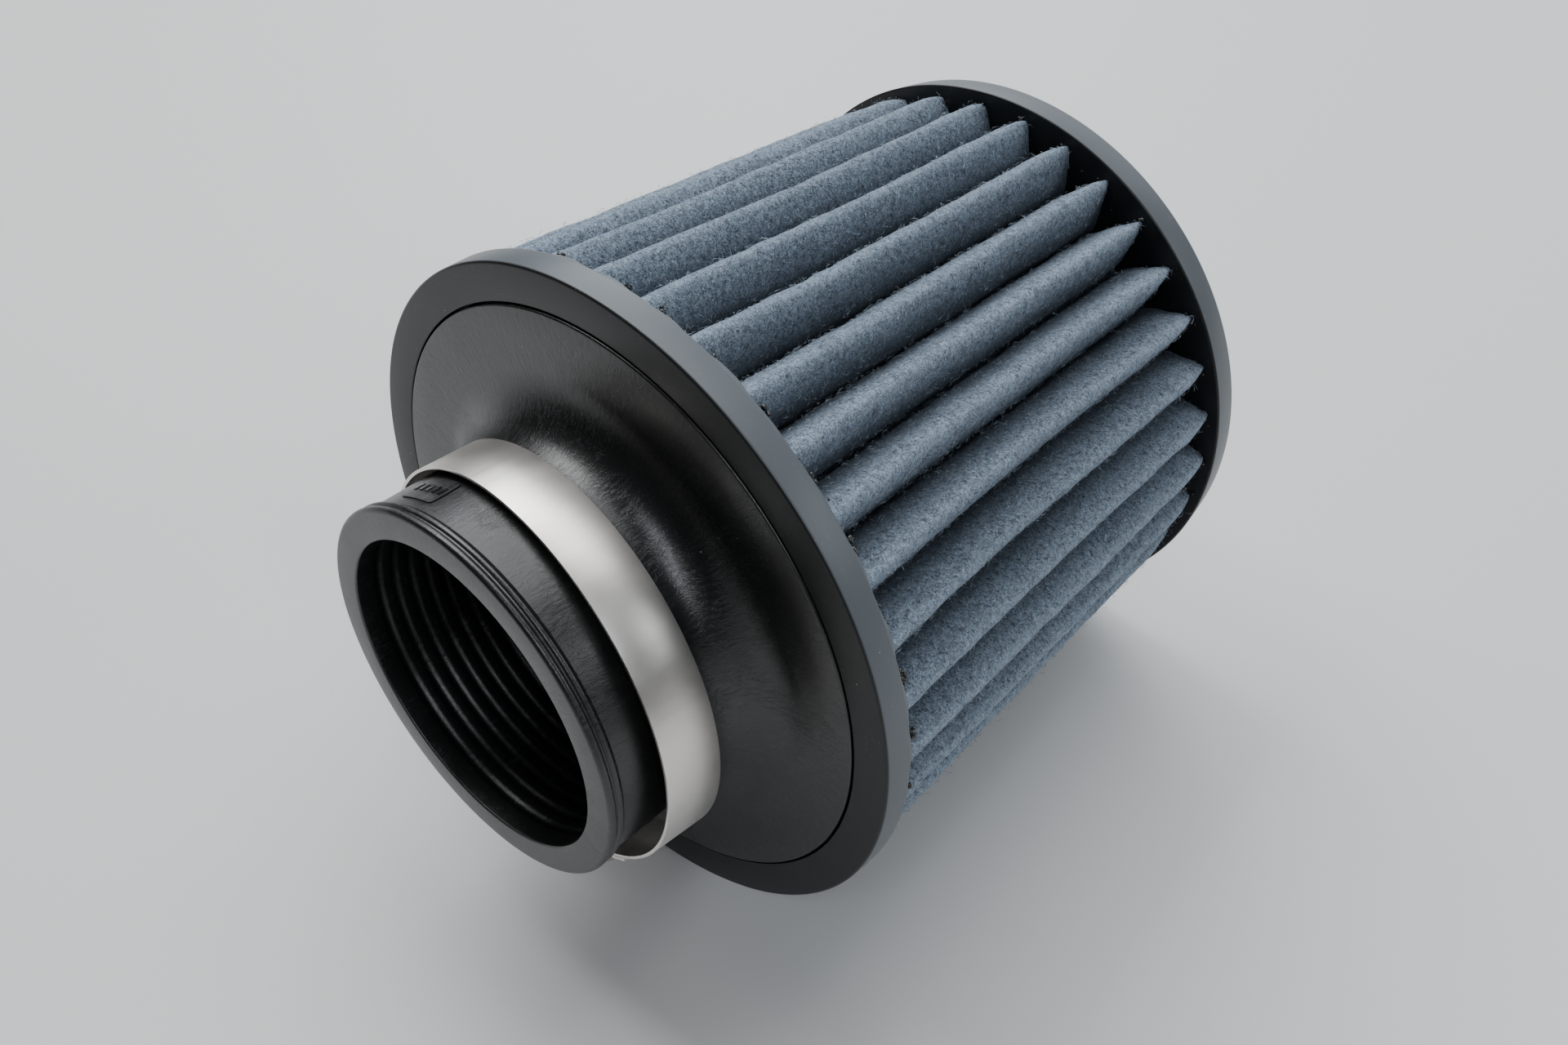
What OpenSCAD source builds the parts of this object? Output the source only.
// Clamp-on conical air filter, lying on its side.
// Origin at the centre of the neck's mouth, +Y along the axis from the mouth to the cap, +Z up.
// Each sub-part is drawn round +Z, and along_y() lays it on +Y. That turns an angle over:
// 90 degrees in a drawing is straight down on the filter.

/* [Neck and flange] */
// Diameter of the neck's bore
bore_d = 70; // [68:0.5:71]
// Thickness of the neck's wall
neck_wall = 5.9; // [5.5:0.1:6.2]
// Distance from the mouth to the flange's front face
flange_y = 37.8; // [37:0.1:40]
// Thickness of the flange
flange_t = 4; // [3:0.1:5]
// Radius of the bell between the neck and the flange
bell_r = 12; // [8:0.5:12]
// Radius of the two rings of the bead at the mouth
bead_r = 1; // [0.6:0.1:1.2]
// Depth of the grooves in the bore
groove_depth = 0.3; // [0.3:0.1:1]
// Distance from one groove to the next
groove_pitch = 3.8; // [3.4:0.1:4]
// Number of grooves in the bore
groove_count = 7; // [4:1:7]

/* [Base ring and cap] */
// Outer diameter of the base ring
base_d = 150; // [149:1:156]
// Width of the base ring's rim along the axis
base_h = 6.9; // [6:0.1:9]
// Diameter of the seam between the flange and the base ring
seam_d = 133; // [128:1:136]
// Width of that seam
seam_w = 0.4; // [0.2:0.1:0.8]
// Diameter of the cap at its front edge
cap_d = 135; // [134:1:140]
// Thickness of the cap
cap_h = 8.6; // [7:0.1:11]
// Free length of the pleats between the base ring and the cap
element_l = 117.9; // [110:0.1:120]

/* [Pleats] */
// Number of pleats
pleats = 34; // [28:1:36]
// Thickness of the felt
felt_t = 2; // [1.5:0.1:2.2]
// Depth of the pleats at the base ring, over the felt
pleat_depth = 19; // [16:0.5:20]
// Bending radius of the felt's middle at an outer fold
outer_bend = 2.5; // [2:0.1:2.6]
// Bending radius of the felt's middle at an inner fold
inner_bend = 1.8; // [1.5:0.1:2]
// Thickness of the wire screen
screen_t = 0.3; // [0.2:0.05:0.4]

/* [Clamp] */
// Outer diameter of the clamp's loop
loop_d = 89.2; // [89:0.1:90]
// Width of the strip
strip_w = 12.7; // [12:0.1:13]
// Thickness of the strip
strip_t = 0.65; // [0.5:0.05:0.7]
// Distance from one slot of the strip to the next, and the worm's pitch
slot_pitch = 3.2; // [3:0.1:3.4]
// Distance from the mouth to the middle of the loop
loop_y = 19.9; // [19:0.1:21]
// How far the loose loop hangs to the right
loop_x = 1.6; // [1:0.1:1.7]
// How far the loose loop hangs down
loop_drop = 1.2; // [0.8:0.1:1.3]
// How far the loose loop leans
loop_lean = 3.7; // [0:0.1:3.8]
// Width of the screw's head across its flats
head_af = 8; // [7:0.5:8]

/* [Hidden] */
$fn = 96;
tiny = 0.01;

// Neck and flange
bore_r = bore_d / 2;
neck_r = bore_r + neck_wall;
neck_end = flange_y + flange_t;
// The neck and the flange are one moulding, cut across the bell behind the clamp
neck_l = flange_y - 7.8;
groove_w = 1.6;
groove_start = 4;
inner_flare = 4;
pad_angle = 112;
pad_span = 15;
pad_front = 8.5;
pad_l = 8.5;
pad_t = 0.35;

// Base ring and cap
base_r = base_d / 2;
seam_r = seam_d / 2;
ring_front = flange_y + 0.3;
ring_rear = ring_front + base_h;
ring_hole_r = 52;
ring_edge = 0.8;
cap_r = cap_d / 2;
cap_front = ring_rear + element_l;
cap_rear = cap_front + cap_h;
cap_taper = 1.1;
cap_edge = 1.5;
cap_dish_r = 50;
cap_dish_depth = 1;

// Pleats: drawn at the felt's front edge, then tapered towards the cap
potting = 2.8;
felt_front = ring_rear - potting;
felt_rear = cap_front + potting;
felt_r = base_r - 1.6;
felt_rear_r = cap_r - 1.4;
taper = (felt_r - felt_rear_r) / felt_r / (felt_rear - felt_front);
pitch = 360 / pleats;
bend_steps = 6;
outer_centre = felt_r - felt_t / 2 - outer_bend;
inner_centre = felt_r - pleat_depth + felt_t / 2 + inner_bend;
fold_x = outer_centre - inner_centre * cos(pitch / 2);
fold_y = inner_centre * sin(pitch / 2);
// The felt's wall is the tangent that crosses between an outer and an inner fold
wall_turn = 180 - atan2(fold_y, fold_x) - acos((outer_bend + inner_bend) / norm([fold_x, fold_y]));
screen_gap = 0.1;

// The ends of the felt strip meet in an inner fold straight down, and turn in side by side
join_angle = 90;
flap_t = 1.6;
flap_l = 5.5;
clip_t = 0.6;
clip_clear = 0.1;
clip_r = felt_r - pleat_depth - screen_t - 0.4;

// Clamp: the loop, with the tail, worm and housing stacked on it
loop_r = loop_d / 2;
loop_start = 112;
loop_span = 345;
tail_gap = 0.15;
tail_r = loop_r + tail_gap + strip_t;
tail_start = 52;
tail_span = 70;
slot_w = 1.5;
slot_l = 8.4;
slot_lean = 9;
slot_count = 24;
slot_step = slot_pitch / (tail_r - strip_t / 2) * 180 / PI;
housing_angle = 90;
worm_r = 3.6;
worm_root_r = 2.8;
worm_clear = 0.15;
worm_axis = tail_r + worm_clear + worm_r;
worm_turns = 4;
housing_l = 17;
housing_t = 0.8;
shell_r = worm_r + 0.3;
leg_gap = 0.25;
leg_inner = strip_w / 2 + leg_gap;
leg_outer = leg_inner + housing_t;
shoulder = tail_r + 0.2;
saddle_t = 0.6;
saddle_r = loop_r - strip_t - 0.15;
saddle_span = 23;
ear_h = 2;
journal_clear = 0.05;
front_journal_r = 2.6;
rear_journal_r = 1.9;
head_h = 5;
head_gap = 0.6;
collar_r = head_af / 2 + 0.5;
collar_t = 0.8;
head_slot_w = 1.2;
head_slot_depth = 2;

rubber_black = "#1b1c1e";
cast_black = "#232427";
felt_grey = "#7d8794";
steel = "#c9c8c4";

module along_y() {
    rotate([-90, 0, 0]) children();
}

module at_clamp() {
    translate([loop_x, loop_y, -loop_drop]) rotate([0, 0, -loop_lean]) along_y() children();
}

// +X outwards through the housing, +Z along the loop's axis
module at_housing() {
    at_clamp() rotate([0, 0, housing_angle]) children();
}

module round_corner(r) {
    difference() {
        square(r + tiny);
        circle(r = r);
    }
}

module neck() {
    color(rubber_black) {
        along_y() difference() {
            rotate_extrude() intersection() {
                moulding_section();
                square([base_r, neck_l]);
            }
            for (i = [0 : groove_count - 1])
                translate([0, 0, groove_start + i * groove_pitch])
                    cylinder(r = bore_r + groove_depth, h = groove_w);
        }
        along_y() neck_pad();
    }
}

module flange() {
    color(rubber_black) along_y() rotate_extrude() difference() {
        moulding_section();
        square([base_r, neck_l]);
    }
}

module moulding_section() {
    flange_edge = seam_r - seam_w / 2;
    difference() {
        union() {
            translate([bore_r, 0]) square([neck_wall, neck_end]);
            translate([neck_r - tiny, flange_y]) square([flange_edge - neck_r + tiny, flange_t]);
            translate([neck_r - tiny, flange_y - bell_r]) difference() {
                square([bell_r + tiny, bell_r + tiny]);
                translate([bell_r + tiny, 0]) circle(r = bell_r);
            }
            translate([neck_r - 0.1, bead_r]) circle(r = bead_r);
            translate([neck_r - 0.1, 2.9 * bead_r]) circle(r = 0.9 * bead_r);
        }
        translate([bore_r + inner_flare, neck_end - inner_flare]) mirror([1, 0]) round_corner(inner_flare);
    }
}

// Small raised pad on the neck, half under the clamp
module neck_pad() {
    translate([0, 0, pad_front]) rotate([0, 0, -pad_angle - pad_span / 2])
        rotate_extrude(angle = pad_span) translate([neck_r - 0.5, 0]) square([0.5 + pad_t, pad_l]);
}

module base_ring() {
    color(cast_black) along_y() rotate_extrude() difference() {
        union() {
            translate([seam_r + seam_w / 2, ring_front]) square([base_r - seam_r - seam_w / 2, base_h]);
            translate([ring_hole_r, neck_end]) square([base_r - ring_hole_r, ring_rear - neck_end]);
        }
        translate([base_r - ring_edge, ring_front + ring_edge]) mirror([0, 1]) round_corner(ring_edge);
    }
}

module top_cap() {
    color(cast_black) along_y() rotate_extrude() difference() {
        union() {
            translate([0, cap_front]) polygon([
                [0, 0], [cap_r, 0], [cap_r - cap_taper, cap_h - cap_edge],
                [cap_r - cap_taper - cap_edge, cap_h], [0, cap_h]
            ]);
            translate([cap_r - cap_taper - cap_edge, cap_rear - cap_edge]) circle(r = cap_edge);
        }
        translate([0, cap_rear - cap_dish_depth]) square([cap_dish_r, cap_dish_depth + tiny]);
    }
}

// Points of the pleated outline, a distance out from the middle of the felt
function fold(centre, at, r, from, to) = [
    for (i = [0 : bend_steps])
        let (a = from + (to - from) * i / bend_steps)
            [centre * cos(at) + r * cos(a), centre * sin(at) + r * sin(a)]
];

function pleat(at, out) = concat(
    fold(outer_centre, at, outer_bend + out, at - wall_turn, at + wall_turn),
    fold(inner_centre, at + pitch / 2, inner_bend - out, at + wall_turn + 180, at + pitch - wall_turn + 180)
);

module pleat_outline(out) {
    polygon([for (i = [0 : pleats - 1]) each pleat(i * pitch, out)]);
}

// Draws a section of the pleated cone from one place on the axis to another
module tapered(from, to) {
    k_from = 1 - taper * (from - felt_front);
    k_to = 1 - taper * (to - felt_front);
    along_y() translate([0, 0, from])
        linear_extrude(height = to - from, scale = k_to / k_from) scale(k_from) children();
}

module flap(extra) {
    rotate([0, 0, join_angle]) translate([clip_r - flap_l, -flap_t / 2 - extra])
        square([flap_l + 2 * screen_t + 1, flap_t + 2 * extra]);
}

module filter_media() {
    color(felt_grey) tapered(felt_front, felt_rear) {
        difference() {
            pleat_outline(felt_t / 2);
            pleat_outline(-felt_t / 2);
        }
        flap(0);
    }
}

module inner_screen() {
    color(steel) tapered(ring_rear, cap_front) difference() {
        pleat_outline(-felt_t / 2 - screen_gap);
        pleat_outline(-felt_t / 2 - screen_gap - screen_t);
        flap(clip_clear);
    }
}

module seam_clip() {
    clip_w = flap_t + 2 * (clip_clear + clip_t);
    clip_back = flap_l + clip_clear + clip_t;
    color(steel) tapered(ring_rear + 0.5, cap_front - 0.5) difference() {
        rotate([0, 0, join_angle]) translate([clip_r - clip_back, -clip_w / 2])
            square([clip_back - 0.2, clip_w]);
        flap(clip_clear);
        rotate([0, 0, join_angle]) translate([clip_r - flap_l - clip_clear, -flap_t / 2 - clip_clear])
            square([1, flap_t + 2 * clip_clear]);
    }
}

// A stretch of the strip, with its outer face at radius r
module strip(r, start, span) {
    rotate([0, 0, start]) rotate_extrude(angle = span)
        translate([r - strip_t, -strip_w / 2]) square([strip_t, strip_w]);
}

module slots(r, start, count) {
    for (i = [0 : count - 1])
        rotate([0, 0, start + i * slot_step]) translate([r, 0, 0]) rotate([slot_lean, 0, 0])
            cube([4 * strip_t, slot_w, slot_l], center = true);
}

module clamp_band() {
    color(steel) at_clamp() difference() {
        strip(loop_r, loop_start, loop_span);
        slots(loop_r, loop_start + slot_step, slot_count);
    }
}

module clamp_tail() {
    tail_slots = floor(tail_span / slot_step) - 3;
    color(steel) at_clamp() difference() {
        strip(tail_r, tail_start, tail_span);
        slots(tail_r, tail_start + 2.5 * slot_step, tail_slots);
    }
}

module clamp_saddle() {
    plate_r = saddle_r - saddle_t;
    half_w = leg_outer + saddle_t;
    color(steel) at_clamp() rotate([0, 0, housing_angle - saddle_span / 2]) rotate_extrude(angle = saddle_span)
        polygon([
            [plate_r, -half_w], [saddle_r + ear_h, -half_w], [saddle_r + ear_h, -leg_outer],
            [saddle_r, -leg_outer], [saddle_r, leg_outer], [saddle_r + ear_h, leg_outer],
            [saddle_r + ear_h, half_w], [plate_r, half_w]
        ]);
}

module clamp_housing() {
    color(steel) at_housing() difference() {
        union() {
            rotate([90, 0, 0]) linear_extrude(height = housing_l, center = true) housing_section();
            for (side = [-1, 1]) translate([worm_axis, side * (housing_l - housing_t) / 2, 0])
                rotate([90, 0, 0]) linear_extrude(height = housing_t, center = true) end_wall();
        }
        translate([0, 0, -strip_w]) cylinder(r = saddle_r + 0.1, h = 2 * strip_w);
        translate([worm_axis, 0, 0]) rotate([90, 0, 0])
            cylinder(r = front_journal_r + journal_clear, h = housing_l);
        translate([worm_axis, 0, 0]) rotate([-90, 0, 0])
            cylinder(r = rear_journal_r + journal_clear, h = housing_l);
    }
}

module housing_section() {
    difference() {
        union() {
            translate([worm_axis, 0]) circle(r = shell_r + housing_t);
            translate([shoulder, -shell_r - housing_t])
                square([worm_axis - shoulder, 2 * (shell_r + housing_t)]);
            translate([loop_r - 4, -leg_outer]) square([shoulder + housing_t - loop_r + 4, 2 * leg_outer]);
        }
        translate([worm_axis, 0]) circle(r = shell_r);
        translate([loop_r - 4 - tiny, -shell_r]) square([worm_axis - loop_r + 4 + tiny, 2 * shell_r]);
        translate([loop_r - 4 - tiny, -leg_inner]) square([shoulder - loop_r + 4 + tiny, 2 * leg_inner]);
    }
}

module end_wall() {
    intersection() {
        circle(r = shell_r + tiny);
        translate([shoulder - worm_axis, -shell_r - 1]) square([2 * shell_r + 2, 2 * shell_r + 2]);
    }
}

module clamp_screw() {
    thread_l = housing_l - 2 * housing_t - 0.6;
    head_start = housing_l / 2 + head_gap;
    color(steel) at_housing() translate([worm_axis, 0, 0]) rotate([90, 0, 0]) {
        translate([0, 0, -thread_l / 2]) cylinder(r = worm_root_r - 0.2, h = thread_l);
        for (i = [0 : worm_turns - 1])
            translate([0, 0, (i - (worm_turns - 1) / 2) * slot_pitch]) thread_ring();
        cylinder(r = front_journal_r, h = head_start + tiny);
        translate([0, 0, head_start]) cylinder(r = collar_r, h = collar_t);
        translate([0, 0, head_start + collar_t]) difference() {
            cylinder(r = head_af / 2 / cos(30), h = head_h, $fn = 6);
            translate([-head_af, -head_slot_w / 2, head_h - head_slot_depth])
                cube([2 * head_af, head_slot_w, head_h]);
        }
        mirror([0, 0, 1]) cylinder(r = rear_journal_r, h = housing_l / 2 + 0.8);
    }
}

module thread_ring() {
    rotate_extrude() polygon([
        [0, -slot_pitch * 0.42], [worm_root_r - 0.2, -slot_pitch * 0.42],
        [worm_r, -slot_pitch * 0.12], [worm_r, slot_pitch * 0.12],
        [worm_root_r - 0.2, slot_pitch * 0.42], [0, slot_pitch * 0.42]
    ]);
}

neck();
flange();
base_ring();
filter_media();
inner_screen();
seam_clip();
top_cap();
clamp_band();
clamp_tail();
clamp_saddle();
clamp_housing();
clamp_screw();
